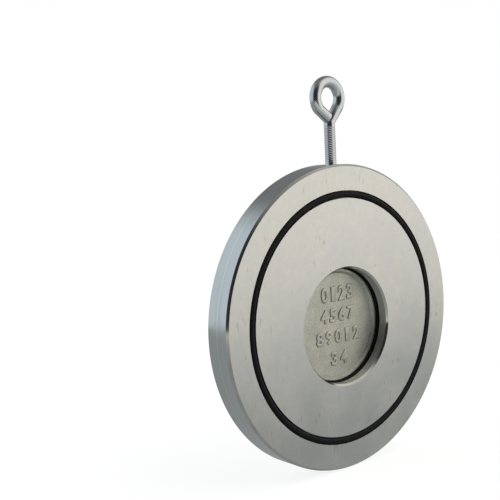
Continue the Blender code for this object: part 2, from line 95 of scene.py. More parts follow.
def turned(outline, steps, centre=(0, 0, 0), closed=False):
    """A bmesh turned about the pipe's direction from (radius, y) points."""
    shape = bmesh.new()
    corners = [shape.verts.new((radius, y, 0)) for radius, y in outline]
    ring = corners + corners[:1] if closed else corners
    for pair in zip(ring, ring[1:]):
        shape.edges.new(pair)
    bmesh.ops.spin(
        shape,
        geom=shape.verts[:] + shape.edges[:],
        cent=(0, 0, 0),
        axis=(0, 1, 0),
        angle=2 * math.pi,
        steps=steps,
        use_merge=True,
    )
    bmesh.ops.remove_doubles(shape, verts=shape.verts, dist=1e-6)
    bmesh.ops.recalc_face_normals(shape, faces=shape.faces)
    bmesh.ops.translate(shape, vec=centre, verts=shape.verts)
    return shape


def milled(low, high, corner=0.0):
    """A bmesh box between two corners, its edges along Y rounded as an end mill leaves them."""
    shape = bmesh.new()
    low, high = Vector(low), Vector(high)
    bmesh.ops.create_cube(shape, size=1.0)
    bmesh.ops.scale(shape, vec=high - low, verts=shape.verts)
    bmesh.ops.translate(shape, vec=(high + low) / 2, verts=shape.verts)
    if corner:
        upright = [e for e in shape.edges if abs((e.verts[0].co - e.verts[1].co).y) > (high - low).y / 2]
        bmesh.ops.bevel(
            shape, geom=upright, offset=corner, segments=6, profile=0.5, affect="EDGES", material=-1
        )
    return shape


def bar(start, end, radius, steps=48, chamfer=0.0):
    """A bmesh round bar between two points."""
    shape = bmesh.new()
    start, end = Vector(start), Vector(end)
    length = (end - start).length
    bmesh.ops.create_cone(
        shape, cap_ends=True, segments=steps, radius1=radius, radius2=radius, depth=length
    )
    if chamfer:
        rims = [e for e in shape.edges if abs(e.verts[0].co.z - e.verts[1].co.z) < length / 2]
        bmesh.ops.bevel(
            shape, geom=rims, offset=chamfer, segments=3, profile=0.5, affect="EDGES", material=-1
        )
    turn = Vector((0, 0, 1)).rotation_difference(end - start).to_matrix().to_4x4()
    bmesh.ops.transform(shape, matrix=Matrix.Translation((start + end) / 2) @ turn, verts=shape.verts)
    return shape


def hinge_bar(start_x, end_x, radius, steps=48, chamfer=0.0):
    """A bmesh round bar on the hinge's axis."""
    start = (start_x, hinge_centre.y, hinge_centre.z)
    return bar(start, (end_x, hinge_centre.y, hinge_centre.z), radius, steps, chamfer)


def solid(name, shape, *finishes, sharp_angle=32.0):
    """An object from a bmesh, with its finishes, shaded smooth between its sharp edges."""
    mesh = bpy.data.meshes.new(name)
    shape.to_mesh(mesh)
    shape.free()
    for finish in finishes:
        mesh.materials.append(finish)
    mesh.shade_smooth()
    mesh.set_sharp_from_angle(angle=math.radians(sharp_angle))
    piece = bpy.data.objects.new(name, mesh)
    bpy.context.scene.collection.objects.link(piece)
    return piece


def worked(piece, *steps, break_edge=0.0, sharp_angle=32.0):
    """Cuts other shapes from a piece, or joins them to it, then breaks its sharp edges."""
    tools = []
    for operation, shape in steps:
        tool = solid(f"{piece.name}_tool", shape)
        modifier = piece.modifiers.new(operation, "BOOLEAN")
        modifier.operation = operation
        modifier.solver = "EXACT"
        modifier.object = tool
        tools.append(tool)
    if break_edge:
        edges = piece.modifiers.new("broken edges", "BEVEL")
        edges.limit_method = "ANGLE"
        edges.angle_limit = math.radians(sharp_angle)
        edges.width = break_edge
        edges.segments = 2
        edges.harden_normals = True
    bpy.context.view_layer.update()
    finished = piece.evaluated_get(bpy.context.evaluated_depsgraph_get())
    mesh = bpy.data.meshes.new_from_object(finished)
    piece.modifiers.clear()
    piece.data = mesh
    mesh.name = piece.name
    for tool in tools:
        bpy.data.objects.remove(tool, do_unlink=True)
    return piece


def node(tree, kind, values=None, **settings):
    """A shader node with its settings; each value is a number or another node's socket."""
    made = tree.nodes.new(kind)
    for key, value in settings.items():
        setattr(made, key, value)
    for key, value in (values or {}).items():
        if isinstance(value, bpy.types.NodeSocket):
            tree.links.new(value, made.inputs[key])
        else:
            made.inputs[key].default_value = value
    return made


def finish(name, metallic, roughness):
    """A new Principled material; returns it with its tree, its shader and its object coordinates."""
    made = bpy.data.materials.new(name)
    made.use_nodes = True
    tree = made.node_tree
    shader = tree.nodes["Principled BSDF"]
    shader.inputs["Metallic"].default_value = metallic
    shader.inputs["Roughness"].default_value = roughness
    place = node(tree, "ShaderNodeTexCoord").outputs["Object"]
    return made, tree, shader, place


def stretched(tree, place, scale):
    """Object coordinates stretched per axis, in cycles per metre."""
    return node(tree, "ShaderNodeMapping", {"Vector": place, "Scale": scale}).outputs["Vector"]


def noise(tree, place, scale=1.0, detail=3.0, roughness=0.5):
    """Soft noise at a place, from 0 to 1."""
    values = {"Vector": place, "Scale": scale, "Detail": detail, "Roughness": roughness}
    return node(tree, "ShaderNodeTexNoise", values).outputs["Fac"]


def between(tree, value, low, high, to_low=0.0, to_high=1.0):
    """A value's range from low to high, smoothly stretched to another range."""
    values = {"Value": value, "From Min": low, "From Max": high, "To Min": to_low, "To Max": to_high}
    ranged = node(tree, "ShaderNodeMapRange", values, interpolation_type="SMOOTHSTEP")
    return ranged.outputs["Result"]


def blended(tree, amount, first, second, kind="MIX"):
    """Two colours mixed by an amount."""
    mix = node(tree, "ShaderNodeMix", data_type="RGBA", blend_type=kind)
    for socket, value in ((mix.inputs[0], amount), (mix.inputs[6], first), (mix.inputs[7], second)):
        if isinstance(value, bpy.types.NodeSocket):
            tree.links.new(value, socket)
        else:
            socket.default_value = value
    return mix.outputs[2]


def relief(tree, shader, height, depth, strength=1.0):
    """Fine relief of a given depth in metres."""
    bump = node(tree, "ShaderNodeBump", {"Height": height, "Distance": depth, "Strength": strength})
    tree.links.new(bump.outputs["Normal"], shader.inputs["Normal"])


def dull_zinc():
    """Plating on the faces: a warm grey, softly clouded, with faint tints and short dark ticks."""
    made, tree, shader, place = finish("dull zinc plate", 1.0, 0.36)
    clouds = noise(tree, stretched(tree, place, (48, 48, 40)), detail=4.0, roughness=0.55)
    colour = blended(
        tree, between(tree, clouds, 0.34, 0.66), (0.715, 0.715, 0.695, 1), (0.80, 0.79, 0.755, 1)
    )
    warm = noise(tree, stretched(tree, place, (85, 85, 30)), detail=3.0, roughness=0.6)
    colour = blended(tree, between(tree, warm, 0.54, 0.76, 0.0, 0.35), colour, (0.79, 0.74, 0.62, 1))
    cool = noise(tree, stretched(tree, place, (70, 70, 34)), detail=3.0)
    colour = blended(tree, between(tree, cool, 0.56, 0.78, 0.0, 0.45), colour, (0.66, 0.70, 0.74, 1))
    mottle = noise(tree, stretched(tree, place, (330, 330, 330)), detail=3.0, roughness=0.7)
    colour = blended(tree, between(tree, mottle, 0.35, 0.7, 0.22, 0.0), colour, (0.60, 0.60, 0.58, 1))
    ticks = noise(tree, stretched(tree, place, (900, 900, 210)), detail=1.0, roughness=0.4)
    patchy = noise(tree, stretched(tree, place, (90, 90, 90)), detail=2.0)
    ticked = between(tree, patchy, 0.45, 0.62, 0.0, 0.4)
    marked = between(tree, ticks, 0.66, 0.74)
    share = node(tree, "ShaderNodeMath", {0: marked, 1: ticked}, operation="MULTIPLY")
    colour = blended(tree, share.outputs[0], colour, (0.40, 0.38, 0.33, 1))
    tree.links.new(colour, shader.inputs["Base Color"])
    tree.links.new(between(tree, clouds, 0.3, 0.7, 0.32, 0.40), shader.inputs["Roughness"])
    grain = noise(tree, stretched(tree, place, (1500, 1500, 1500)), detail=3.0, roughness=0.6)
    relief(tree, shader, grain, 0.000015, 0.5)
    return made


def rim_zinc():
    """The same plating over a fine-turned rim: brighter, with a pale scribed line round its middle."""
    made, tree, shader, place = finish("turned zinc rim", 1.0, 0.2)
    lines = noise(tree, stretched(tree, place, (6, 1700, 6)), detail=3.0, roughness=0.6)
    stains = noise(tree, stretched(tree, place, (40, 120, 40)), detail=3.0, roughness=0.5)
    colour = blended(tree, between(tree, lines, 0.3, 0.7), (0.61, 0.625, 0.63, 1), (0.65, 0.665, 0.67, 1))
    colour = blended(tree, between(tree, stains, 0.55, 0.8, 0.0, 0.3), colour, (0.50, 0.49, 0.46, 1))
    along = node(tree, "ShaderNodeSeparateXYZ", {"Vector": place}).outputs["Y"]
    from_line = node(tree, "ShaderNodeMath", {0: along}, operation="ABSOLUTE").outputs[0]
    scribed = between(tree, from_line, LINE_CORE, LINE_EDGE, 0.8, 0.0)
    colour = blended(tree, scribed, colour, (0.86, 0.85, 0.80, 1))
    tree.links.new(colour, shader.inputs["Base Color"])
    tree.links.new(between(tree, stains, 0.3, 0.7, 0.15, 0.24), shader.inputs["Roughness"])
    relief(tree, shader, lines, 0.000002, 0.4)
    return made


def chamfer_zinc():
    """Plating over the rim's turned chamfers, cut with a keen tool and so nearly polished."""
    made, tree, shader, place = finish("keen turned chamfer", 1.0, 0.13)
    stains = noise(tree, stretched(tree, place, (90, 90, 90)), detail=3.0)
    colour = blended(tree, between(tree, stains, 0.3, 0.7), (0.52, 0.52, 0.50, 1), (0.64, 0.63, 0.59, 1))
    tree.links.new(colour, shader.inputs["Base Color"])
    return made


def bored_zinc():
    """Plating inside the bore, greener and darker than on the faces."""
    made, tree, shader, place = finish("bored zinc wall", 1.0, 0.3)
    lines = noise(tree, stretched(tree, place, (60, 1500, 60)), detail=3.0, roughness=0.6)
    colour = blended(tree, between(tree, lines, 0.3, 0.7), (0.58, 0.60, 0.565, 1), (0.68, 0.695, 0.66, 1))
    tree.links.new(colour, shader.inputs["Base Color"])
    relief(tree, shader, lines, 0.00001, 0.5)
    return made


seat_y = -face_y + SEAT_DEPTH
half_outline = [
    (0.0, -face_y),
    (seal_groove_radius - GROOVE_HALF_WIDTH, -face_y),
    (seal_groove_radius - GROOVE_HALF_WIDTH, -face_y + GROOVE_DEPTH),
    (seal_groove_radius + GROOVE_HALF_WIDTH, -face_y + GROOVE_DEPTH),
    (seal_groove_radius + GROOVE_HALF_WIDTH, -face_y),
    (body_radius - RIM_CHAMFER, -face_y),
    (body_radius, -face_y + RIM_CHAMFER),
    (body_radius, -face_y + RIM_CHAMFER + RIM_SUPPORT),
]
body_shape = turned(half_outline + [(r, -y) for r, y in reversed(half_outline)], BODY_STEPS)
for face in body_shape.faces:
    middle = face.calc_center_median()
    out = math.hypot(middle.x, middle.z)
    if out > body_radius - RIM_CHAMFER / 4:
        face.material_index = RIM_FINISH
    elif out > body_radius - RIM_CHAMFER:
        face.material_index = CHAMFER_FINISH

pin_low, pin_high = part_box("hinge_pin")
pin_radius = (pin_high.z - pin_low.z) / 2
washer_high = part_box("right_thrust_washer")[1]
keeper_low, keeper_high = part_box("right_pin_keeper")
screw_low, screw_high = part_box("right_keeper_screw")
GAP = 0.0003
POCKET_CORNER = 0.0012
KEEPER_CORNER = 0.0015
KNUCKLE_RADIUS = 0.0046
KNUCKLE_CLEARANCE = 0.0005
NECK_ROOM = 0.0035
SCREW_HOLE_RADIUS = 0.0023
EYE_HOLE_RADIUS = 0.0029
pocket_x = washer_high.x + GAP
pocket_low_z = hinge_centre.z - KNUCKLE_RADIUS - KNUCKLE_CLEARANCE
pocket_high_z = hinge_centre.z + KNUCKLE_RADIUS + KNUCKLE_CLEARANCE
pocket_floor_y = hinge_centre.y - KNUCKLE_RADIUS - KNUCKLE_CLEARANCE
recess_radius = flap_high.x + RECESS_CLEARANCE
keeper_floor_y = keeper_low.y - GAP
slot_radius = pin_radius + GAP

bore_cut = turned(
    [
        (0.0, -face_y - REACH),
        (BORE_RADIUS + BORE_CHAMFER + REACH, -face_y - REACH),
        (BORE_RADIUS, -face_y + BORE_CHAMFER),
        (BORE_RADIUS, seat_y - SEAT_RELIEF),
        (BORE_RADIUS + SEAT_RELIEF, seat_y),
        (BORE_RADIUS + SEAT_RELIEF, face_y + REACH),
        (0.0, face_y + REACH),
    ],
    BORE_STEPS,
    (0, 0, bore_z),
)
recess_cut = turned(
    [
        (0.0, seat_y),
        (recess_radius, seat_y),
        (recess_radius, face_y - MOUTH_CHAMFER),
        (recess_radius + MOUTH_CHAMFER + REACH, face_y + REACH),
        (0.0, face_y + REACH),
    ],
    BORE_STEPS,
    (0, 0, bore_z),
)
cuts = [
    bore_cut,
    recess_cut,
    milled(
        (-pocket_x, pocket_floor_y, pocket_low_z),
        (pocket_x, face_y + REACH, pocket_high_z),
        POCKET_CORNER,
    ),
    milled(
        (-pocket_x, seat_y, pocket_low_z - NECK_ROOM),
        (pocket_x, face_y + 2 * REACH, hinge_centre.z),
    ),
    hinge_bar(pin_low.x - GAP, pin_high.x + GAP, slot_radius),
    milled(
        (pin_low.x - GAP, hinge_centre.y, hinge_centre.z - slot_radius),
        (pin_high.x + GAP, keeper_floor_y + REACH, hinge_centre.z + slot_radius),
    ),
]
for side in (-1, 1):
    inner, outer = sorted((side * (pocket_x - REACH), side * (keeper_high.x + GAP)))
    pocket = milled(
        (inner, keeper_floor_y, keeper_low.z - GAP),
        (outer, face_y + 3 * REACH, keeper_high.z + GAP),
        KEEPER_CORNER,
    )
    screw_x = side * (screw_low.x + screw_high.x) / 2
    hole = bar(
        (screw_x, screw_low.y - GAP, hinge_centre.z),
        (screw_x, face_y, hinge_centre.z),
        SCREW_HOLE_RADIUS,
    )
    cuts += [pocket, hole]
eye_low, eye_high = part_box("eye_bolt")
cuts.append(bar((0, 0, eye_low.z - GAP), (0, 0, body_radius + REACH), EYE_HOLE_RADIUS))

valve_body = solid("turned_body", body_shape, dull_zinc(), chamfer_zinc(), rim_zinc(), bored_zinc())
worked(valve_body, *(("DIFFERENCE", cut) for cut in cuts), break_edge=BREAK_EDGE)
for face in valve_body.data.polygons:
    out = Vector((face.center.x, 0.0, face.center.z - bore_z))
    if out.length < recess_radius + REACH / 2 and face.normal.dot(out) < 0.0:
        if abs(face.normal.y) < WALL_TILT:
            face.material_index = BORE_FINISH
        elif -FACE_TILT < face.normal.y < -WALL_TILT:
            face.material_index = CHAMFER_FINISH
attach(valve_body, "body")
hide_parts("valve_body")

# ---------------------------------------------------------------- flange seals
# Two nitrile O-rings, moulded, pressed into the grooves of the flange faces and standing a little
# proud of them. Matte black, with the thin flash line that the mould leaves round the ring.
FLANGE_SEAL_SECTION = 0.003
FLASH_HEIGHT = 0.00005
SEAL_SIDES = 28
SEAL_SHARP_ANGLE = 80.0


def black_rubber():
    """Matte nitrile rubber with a slight bloom and fine pores."""
    made, tree, shader, place = finish("black nitrile rubber", 0.0, 0.7)
    shader.inputs["Specular IOR Level"].default_value = 0.25
    bloom = noise(tree, stretched(tree, place, (120, 120, 120)), detail=4.0, roughness=0.6)
    colour = blended(
        tree, between(tree, bloom, 0.45, 0.8), (0.006, 0.006, 0.0065, 1), (0.016, 0.016, 0.0165, 1)
    )
    tree.links.new(colour, shader.inputs["Base Color"])
    tree.links.new(between(tree, bloom, 0.3, 0.7, 0.62, 0.78), shader.inputs["Roughness"])
    pores = noise(tree, stretched(tree, place, (3000, 3000, 3000)), detail=2.0)
    relief(tree, shader, pores, 0.00001, 0.5)
    return made


def ring_section(middle_radius, section):
    """Points round an O-ring's section, raised a hair where the mould halves met."""
    points = []
    for k in range(SEAL_SIDES):
        turn = 2 * math.pi * k / SEAL_SIDES
        reach = section / 2 + (FLASH_HEIGHT if k % (SEAL_SIDES // 2) == 0 else 0.0)
        points.append((middle_radius + reach * math.cos(turn), reach * math.sin(turn)))
    return points


rubber = black_rubber()
for seal_name in ("upstream_flange_seal", "downstream_flange_seal"):
    low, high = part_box(seal_name)
    middle_radius = high.x - FLANGE_SEAL_SECTION / 2
    section_points = ring_section(middle_radius, FLANGE_SEAL_SECTION)
    seal_shape = turned(section_points, BODY_STEPS, (0, (low.y + high.y) / 2, 0), closed=True)
    ring_name = seal_name.replace("flange_seal", "o_ring")
    seal = solid(ring_name, seal_shape, rubber, sharp_angle=SEAL_SHARP_ANGLE)
    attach(seal, "body")
    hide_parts(seal_name)

# ---------------------------------------------------------------- flap
# An investment casting in steel, plated but left granular: a disc with a raised lip round its face,
# a groove for its seal, a neck, and two knuckles that turn on the hinge pin.
FLAP_STEPS = 192
LIP_OUTER = 0.0265
LIP_WIDTH = 0.0016
LIP_SLOPE = 0.0007
LIP_SET_BACK = 0.0008
CAST_FACE_DROP = 0.0012
FLAP_SEAL_SECTION = 0.004
FLAP_EDGE = 0.0005
REAR_DISH_RADIUS = 0.0218
REAR_DISH_DEPTH = 0.0014
LIP_ROUND = 0.00035
FLAP_SET_BACK = 0.0005
FLAP_THICKNESS = 0.0059
KNUCKLE_FIT = 0.0002
CAST_EDGE = 0.00018

flap_front_y = seat_y + FLAP_SET_BACK
flap_rear_y = flap_front_y + FLAP_THICKNESS
flap_radius = flap_high.x
flap_seal_low, flap_seal_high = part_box("flap_seal")
flap_groove_y = flap_seal_high.y + GAP
flap_groove_outer = flap_seal_high.x + GAP
lip_y = seat_y + LIP_SET_BACK
cast_face_y = lip_y + CAST_FACE_DROP


def cast_zinc():
    """Plated casting: a granular skin in a yellowish grey, with painted shade in the hollows of its
    grain.
    """
    made, tree, shader, place = finish("plated casting", 1.0, 0.5)
    patches = noise(tree, stretched(tree, place, (130, 130, 130)), detail=4.0, roughness=0.6)
    grains = noise(tree, stretched(tree, place, (1900, 1900, 1900)), detail=3.0, roughness=0.6)
    colour = blended(
        tree, between(tree, patches, 0.38, 0.66), (0.69, 0.695, 0.625, 1), (0.80, 0.79, 0.69, 1)
    )
    # painted shade: the colour darkens where the grain's relief is low
    colour = blended(tree, between(tree, grains, 0.35, 0.6, 0.45, 0.0), colour, (0.34, 0.34, 0.30, 1))
    tree.links.new(colour, shader.inputs["Base Color"])
    tree.links.new(between(tree, grains, 0.3, 0.7, 0.58, 0.44), shader.inputs["Roughness"])
    relief(tree, shader, grains, 0.0001, 0.8)
    return made


def shaded_flank_finish():
    """The steep sides of the casting's figures, darkened with painted shade so that they read as shaded.
    """
    made, tree, shader, place = finish("casting flank in painted shade", 1.0, 0.55)
    grains = noise(tree, stretched(tree, place, (1900, 1900, 1900)), detail=3.0, roughness=0.6)
    colour = blended(tree, between(tree, grains, 0.3, 0.7), (0.32, 0.32, 0.28, 1), (0.42, 0.42, 0.37, 1))
    tree.links.new(colour, shader.inputs["Base Color"])
    return made


casting = cast_zinc()
shaded_flank = shaded_flank_finish()
flap_shape = turned(
    [
        (0.0, cast_face_y),
        (LIP_OUTER - LIP_WIDTH - LIP_SLOPE, cast_face_y),
        (LIP_OUTER - LIP_WIDTH, lip_y + LIP_ROUND),
        (LIP_OUTER - LIP_WIDTH + LIP_ROUND, lip_y),
        (LIP_OUTER - LIP_ROUND, lip_y),
        (LIP_OUTER, lip_y + LIP_ROUND),
        (LIP_OUTER, flap_groove_y),
        (flap_groove_outer, flap_groove_y),
        (flap_groove_outer, flap_front_y),
        (flap_radius - FLAP_EDGE, flap_front_y),
        (flap_radius, flap_front_y + FLAP_EDGE),
        (flap_radius, flap_rear_y - FLAP_EDGE),
        (flap_radius - FLAP_EDGE, flap_rear_y),
        (REAR_DISH_RADIUS, flap_rear_y),
        (REAR_DISH_RADIUS - REAR_DISH_DEPTH, flap_rear_y - REAR_DISH_DEPTH),
        (0.0, flap_rear_y - REAR_DISH_DEPTH),
    ],
    FLAP_STEPS,
    (0, 0, bore_z),
)
bush_low, bush_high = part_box("right_bush")
bush_radius = (bush_high.z - bush_low.z) / 2
knuckle_bore = bush_radius + KNUCKLE_FIT
neck_low_z = bore_z + flap_groove_outer + GAP
flap_steps = [
    (
        "UNION",
        milled(
            (-bush_high.x, flap_front_y + FLAP_EDGE, neck_low_z),
            (bush_high.x, flap_rear_y - FLAP_EDGE, pocket_low_z),
        ),
    )
]
for side in (-1, 1):
    inner, outer = sorted((side * bush_low.x, side * bush_high.x))
    arm = milled(
        (inner, flap_front_y + 2 * FLAP_EDGE, pocket_low_z - REACH),
        (outer, flap_rear_y - 2 * FLAP_EDGE, hinge_centre.z),
    )
    flap_steps += [("UNION", arm), ("UNION", hinge_bar(inner, outer, KNUCKLE_RADIUS))]
pin_bore = hinge_bar(-bush_high.x - REACH, bush_high.x + REACH, knuckle_bore)
flap_steps.append(("DIFFERENCE", pin_bore))
flap = solid("cast_flap", flap_shape, casting)
worked(flap, *flap_steps, break_edge=CAST_EDGE)
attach(flap, "flap")
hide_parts("flap")

# ---------------------------------------------------------------- casting numbers
# Four rows of raised plain figures on the flap's face, with the drafted sides and soft edges that a
# casting pattern gives them. Their steep sides carry painted shade.
FIGURE_WIDTH = 0.0047
FIGURE_RELIEF = 0.0005
FIGURE_SINK = 0.0004
FIGURE_DRAFT = 0.07  # this and the next two are shares of the figure's size as type
FIGURE_THICKENING = 0.01
FIGURE_THINNING = -0.02
SLIM_FIGURE_SHARE = 0.62
FLANK_TILT = 0.8
FIGURE_ROWS = (
    ("0123", 0.0055, 0.0074, 0.0018, 0.0145),
    ("4567", 0.0058, 0.0067, 0.0014, 0.0044),
    ("89012", 0.0060, 0.0067, 0.0014, -0.0058),
    ("34", 0.0060, 0.0067, 0.0015, -0.0162),
)  # figures, step from one to the next, height, middle across, middle above the bore's axis


def raised_figure(text, tall, across, above):
    """One figure, stretched to its width and height and laid on the cast face."""
    letter = bpy.data.curves.new("figure", "FONT")
    letter.body = text
    letter.extrude = FIGURE_THICKENING
    letter.offset = FIGURE_THINNING
    letter.bevel_depth = FIGURE_DRAFT
    letter.bevel_resolution = 2
    letter.resolution_u = 6
    holder = bpy.data.objects.new("figure", letter)
    bpy.context.scene.collection.objects.link(holder)
    bpy.context.view_layer.update()
    mesh = bpy.data.meshes.new_from_object(holder.evaluated_get(bpy.context.evaluated_depsgraph_get()))
    bpy.data.objects.remove(holder, do_unlink=True)
    shape = bmesh.new()
    shape.from_mesh(mesh)
    bpy.data.meshes.remove(mesh)
    bmesh.ops.remove_doubles(shape, verts=shape.verts, dist=1e-5)
    lows = [min(v.co[axis] for v in shape.verts) for axis in range(3)]
    highs = [max(v.co[axis] for v in shape.verts) for axis in range(3)]
    middle = Vector((low + high) / 2 for low, high in zip(lows, highs))
    bmesh.ops.translate(shape, vec=-middle, verts=shape.verts)
    width = FIGURE_WIDTH * (SLIM_FIGURE_SHARE if text == "1" else 1.0)
    stretch = (
        width / (highs[0] - lows[0]),
        tall / (highs[1] - lows[1]),
        (FIGURE_RELIEF + FIGURE_SINK) / (highs[2] - lows[2]),
    )
    bmesh.ops.scale(shape, vec=stretch, verts=shape.verts)
    upright = Matrix.Rotation(math.pi / 2, 3, "X")
    bmesh.ops.rotate(shape, cent=(0, 0, 0), matrix=upright, verts=shape.verts)
    depth = cast_face_y - (FIGURE_RELIEF - FIGURE_SINK) / 2
    bmesh.ops.translate(shape, vec=(across, depth, bore_z + above), verts=shape.verts)
    bmesh.ops.recalc_face_normals(shape, faces=shape.faces)
    return shape


for row, (texts, step, tall, across, above) in enumerate(FIGURE_ROWS, start=1):
    figures_shape = bmesh.new()
    for place, text in enumerate(texts):
        aside = across + (place - (len(texts) - 1) / 2) * step
        figure = raised_figure(text, tall, aside, above)
        part_of_row = bpy.data.meshes.new("figure")
        figure.to_mesh(part_of_row)
        figure.free()
        figures_shape.from_mesh(part_of_row)
        bpy.data.meshes.remove(part_of_row)
    for face in figures_shape.faces:
        face.normal_update()
        # steep sides of the figures get the painted-shade finish
        face.material_index = int(abs(face.normal.y) < FLANK_TILT)
    figures = solid(f"cast_figures_{row}", figures_shape, casting, shaded_flank)
    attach(figures, "flap")

# ---------------------------------------------------------------- flap seal
# The nitrile O-ring in the flap's groove, which meets the seat behind the bore; its inner edge shows
# as a black crescent past the lip.
flap_seal_radius = flap_seal_high.x - FLAP_SEAL_SECTION / 2
flap_seal_shape = turned(
    ring_section(flap_seal_radius, FLAP_SEAL_SECTION),
    FLAP_STEPS,
    (0, (flap_seal_low.y + flap_seal_high.y) / 2, bore_z),
    closed=True,
)
flap_seal = solid("flap_o_ring", flap_seal_shape, rubber, sharp_angle=SEAL_SHARP_ANGLE)
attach(flap_seal, "flap")
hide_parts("flap_seal")

# ---------------------------------------------------------------- hinge pin
# A ground stainless pin, 4 mm across with chamfered ends, laid in the two slots of the body.
PIN_CHAMFER = 0.0004
SMALL_STEPS = 64


def stainless(name, lines_along):
    """Machined stainless steel with fine tool lines across one direction."""
    made, tree, shader, place = finish(name, 1.0, 0.26)
    lines = noise(tree, stretched(tree, place, lines_along), detail=4.0, roughness=0.65)
    colour = blended(tree, between(tree, lines, 0.3, 0.7), (0.52, 0.52, 0.51, 1), (0.64, 0.64, 0.63, 1))
    tree.links.new(colour, shader.inputs["Base Color"])
    tree.links.new(between(tree, lines, 0.3, 0.7, 0.2, 0.34), shader.inputs["Roughness"])
    relief(tree, shader, lines, 0.00001, 0.6)
    return made


ground_steel = stainless("ground stainless pin", (2500, 60, 60))
pin_shape = hinge_bar(pin_low.x, pin_high.x, pin_radius, SMALL_STEPS, PIN_CHAMFER)
hinge_pin = solid("ground_pin", pin_shape, ground_steel)
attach(hinge_pin, "body")
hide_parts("hinge_pin")

# ---------------------------------------------------------------- bushes and thrust washers
# Short sleeves of filled bearing plastic: one pressed into each knuckle, and a washer between each
# knuckle and the wall of the pocket. Cut from tube, with their edges broken.
SLEEVE_BORE = 0.0022
SLEEVE_EDGE = 0.0001


def bearing_plastic():
    """Dark brown bearing plastic, flecked with its filler."""
    made, tree, shader, place = finish("filled bearing plastic", 0.0, 0.45)
    flecks = noise(tree, stretched(tree, place, (1800, 1800, 1800)), detail=3.0, roughness=0.7)
    colour = blended(tree, between(tree, flecks, 0.4, 0.7), (0.09, 0.07, 0.05, 1), (0.20, 0.17, 0.13, 1))
    tree.links.new(colour, shader.inputs["Base Color"])
    tree.links.new(between(tree, flecks, 0.3, 0.7, 0.38, 0.55), shader.inputs["Roughness"])
    relief(tree, shader, flecks, 0.00002, 0.5)
    return made


plastic = bearing_plastic()
for node_name, body_name in (
    ("left_bush", "flap"),
    ("right_bush", "flap"),
    ("left_thrust_washer", "body"),
    ("right_thrust_washer", "body"),
):
    low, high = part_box(node_name)
    sleeve_shape = hinge_bar(low.x, high.x, (high.z - low.z) / 2)
    sleeve = solid(f"{node_name}_sleeve", sleeve_shape, plastic)
    hole = hinge_bar(low.x - REACH, high.x + REACH, SLEEVE_BORE)
    worked(sleeve, ("DIFFERENCE", hole), break_edge=SLEEVE_EDGE)
    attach(sleeve, body_name)
    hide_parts(node_name)

# ---------------------------------------------------------------- closing spring
# A torsion spring wound from drawn stainless wire. One leg rests on the floor of the pocket, the coil
# sits round the pin between the knuckles, and the other leg presses on the back of the flap.
SPRING_WIRE = 0.001
SPRING_TURNS = 7.25
SPRING_PITCH = 0.00116
SPRING_RADIUS = 0.003
SPRING_STEPS = 32
BEND_STEPS = 8
WIRE_END_ROUND = 0.3  # share of the wire's radius
spring_low, spring_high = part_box("closing_spring")


def spring_wire_finish():
    """Drawn spring wire, slightly yellowed by stress relief."""
    made, tree, shader, place = finish("drawn spring wire", 1.0, 0.28)
    marks = noise(tree, stretched(tree, place, (1500, 1500, 1500)), detail=3.0)
    colour = blended(tree, between(tree, marks, 0.3, 0.7), (0.50, 0.47, 0.42, 1), (0.62, 0.60, 0.56, 1))
    tree.links.new(colour, shader.inputs["Base Color"])
    relief(tree, shader, marks, 0.00001, 0.4)
    return made


def wire(name, route, radius, finish_used, sides=3):
    """A round wire along points, as a mesh with closed, broken ends."""
    guide = bpy.data.curves.new(name, "CURVE")
    guide.dimensions = "3D"
    guide.bevel_depth = radius
    guide.bevel_resolution = sides
    guide.use_fill_caps = True
    line = guide.splines.new("POLY")
    line.points.add(len(route) - 1)
    for point, spot in zip(line.points, route):
        point.co = (*spot, 1.0)
    holder = bpy.data.objects.new(name, guide)
    bpy.context.scene.collection.objects.link(holder)
    bpy.context.view_layer.update()
    mesh = bpy.data.meshes.new_from_object(holder.evaluated_get(bpy.context.evaluated_depsgraph_get()))
    bpy.data.objects.remove(holder, do_unlink=True)
    shape = bmesh.new()
    shape.from_mesh(mesh)
    bpy.data.meshes.remove(mesh)
    bmesh.ops.remove_doubles(shape, verts=shape.verts, dist=1e-7)
    caps = [f for f in shape.faces if len(f.verts) > 4]
    rims = list({e for cap in caps for e in cap.edges})
    if rims:
        rounding = radius * WIRE_END_ROUND
        bmesh.ops.bevel(
            shape, geom=rims, offset=rounding, segments=3, profile=0.5, affect="EDGES", material=-1
        )
    bmesh.ops.recalc_face_normals(shape, faces=shape.faces)
    return solid(name, shape, finish_used, sharp_angle=50.0)


half_coil = SPRING_TURNS * SPRING_PITCH / 2
leg_rest_y = spring_low.y + SPRING_WIRE / 2
leg_press_y = spring_high.y - SPRING_WIRE / 2
top_of_leg = spring_high.z
route = [
    (-half_coil, leg_rest_y, top_of_leg),
    (-half_coil, hinge_centre.y - SPRING_RADIUS, (top_of_leg + hinge_centre.z) / 2),
]
coil_steps = round(SPRING_TURNS * SPRING_STEPS)
for k in range(coil_steps + 1):
    turn = 2 * math.pi * SPRING_TURNS * k / coil_steps
    route.append(
        (
            -half_coil + SPRING_PITCH * SPRING_TURNS * k / coil_steps,
            hinge_centre.y - SPRING_RADIUS * math.cos(turn),
            hinge_centre.z - SPRING_RADIUS * math.sin(turn),
        )
    )
bend_z = hinge_centre.z - SPRING_RADIUS - SPRING_WIRE
for k in range(BEND_STEPS + 1):
    turn = math.pi / 2 * k / BEND_STEPS
    bend_y = leg_press_y - SPRING_WIRE + SPRING_WIRE * math.sin(turn)
    route.append((half_coil, bend_y, bend_z + SPRING_WIRE * math.cos(turn)))
route.append((half_coil, leg_press_y, spring_low.z))
closing_spring = wire("torsion_spring", route, SPRING_WIRE / 2, spring_wire_finish())
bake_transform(closing_spring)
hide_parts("closing_spring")

# ---------------------------------------------------------------- pin keepers
# Two small stainless plates, milled from flat bar, let in over the ends of the pin just below the
# downstream face. Each has one countersunk hole.
plate_steel = stainless("milled stainless plate", (60, 60, 2200))
SCREW_RADIUS = 0.002
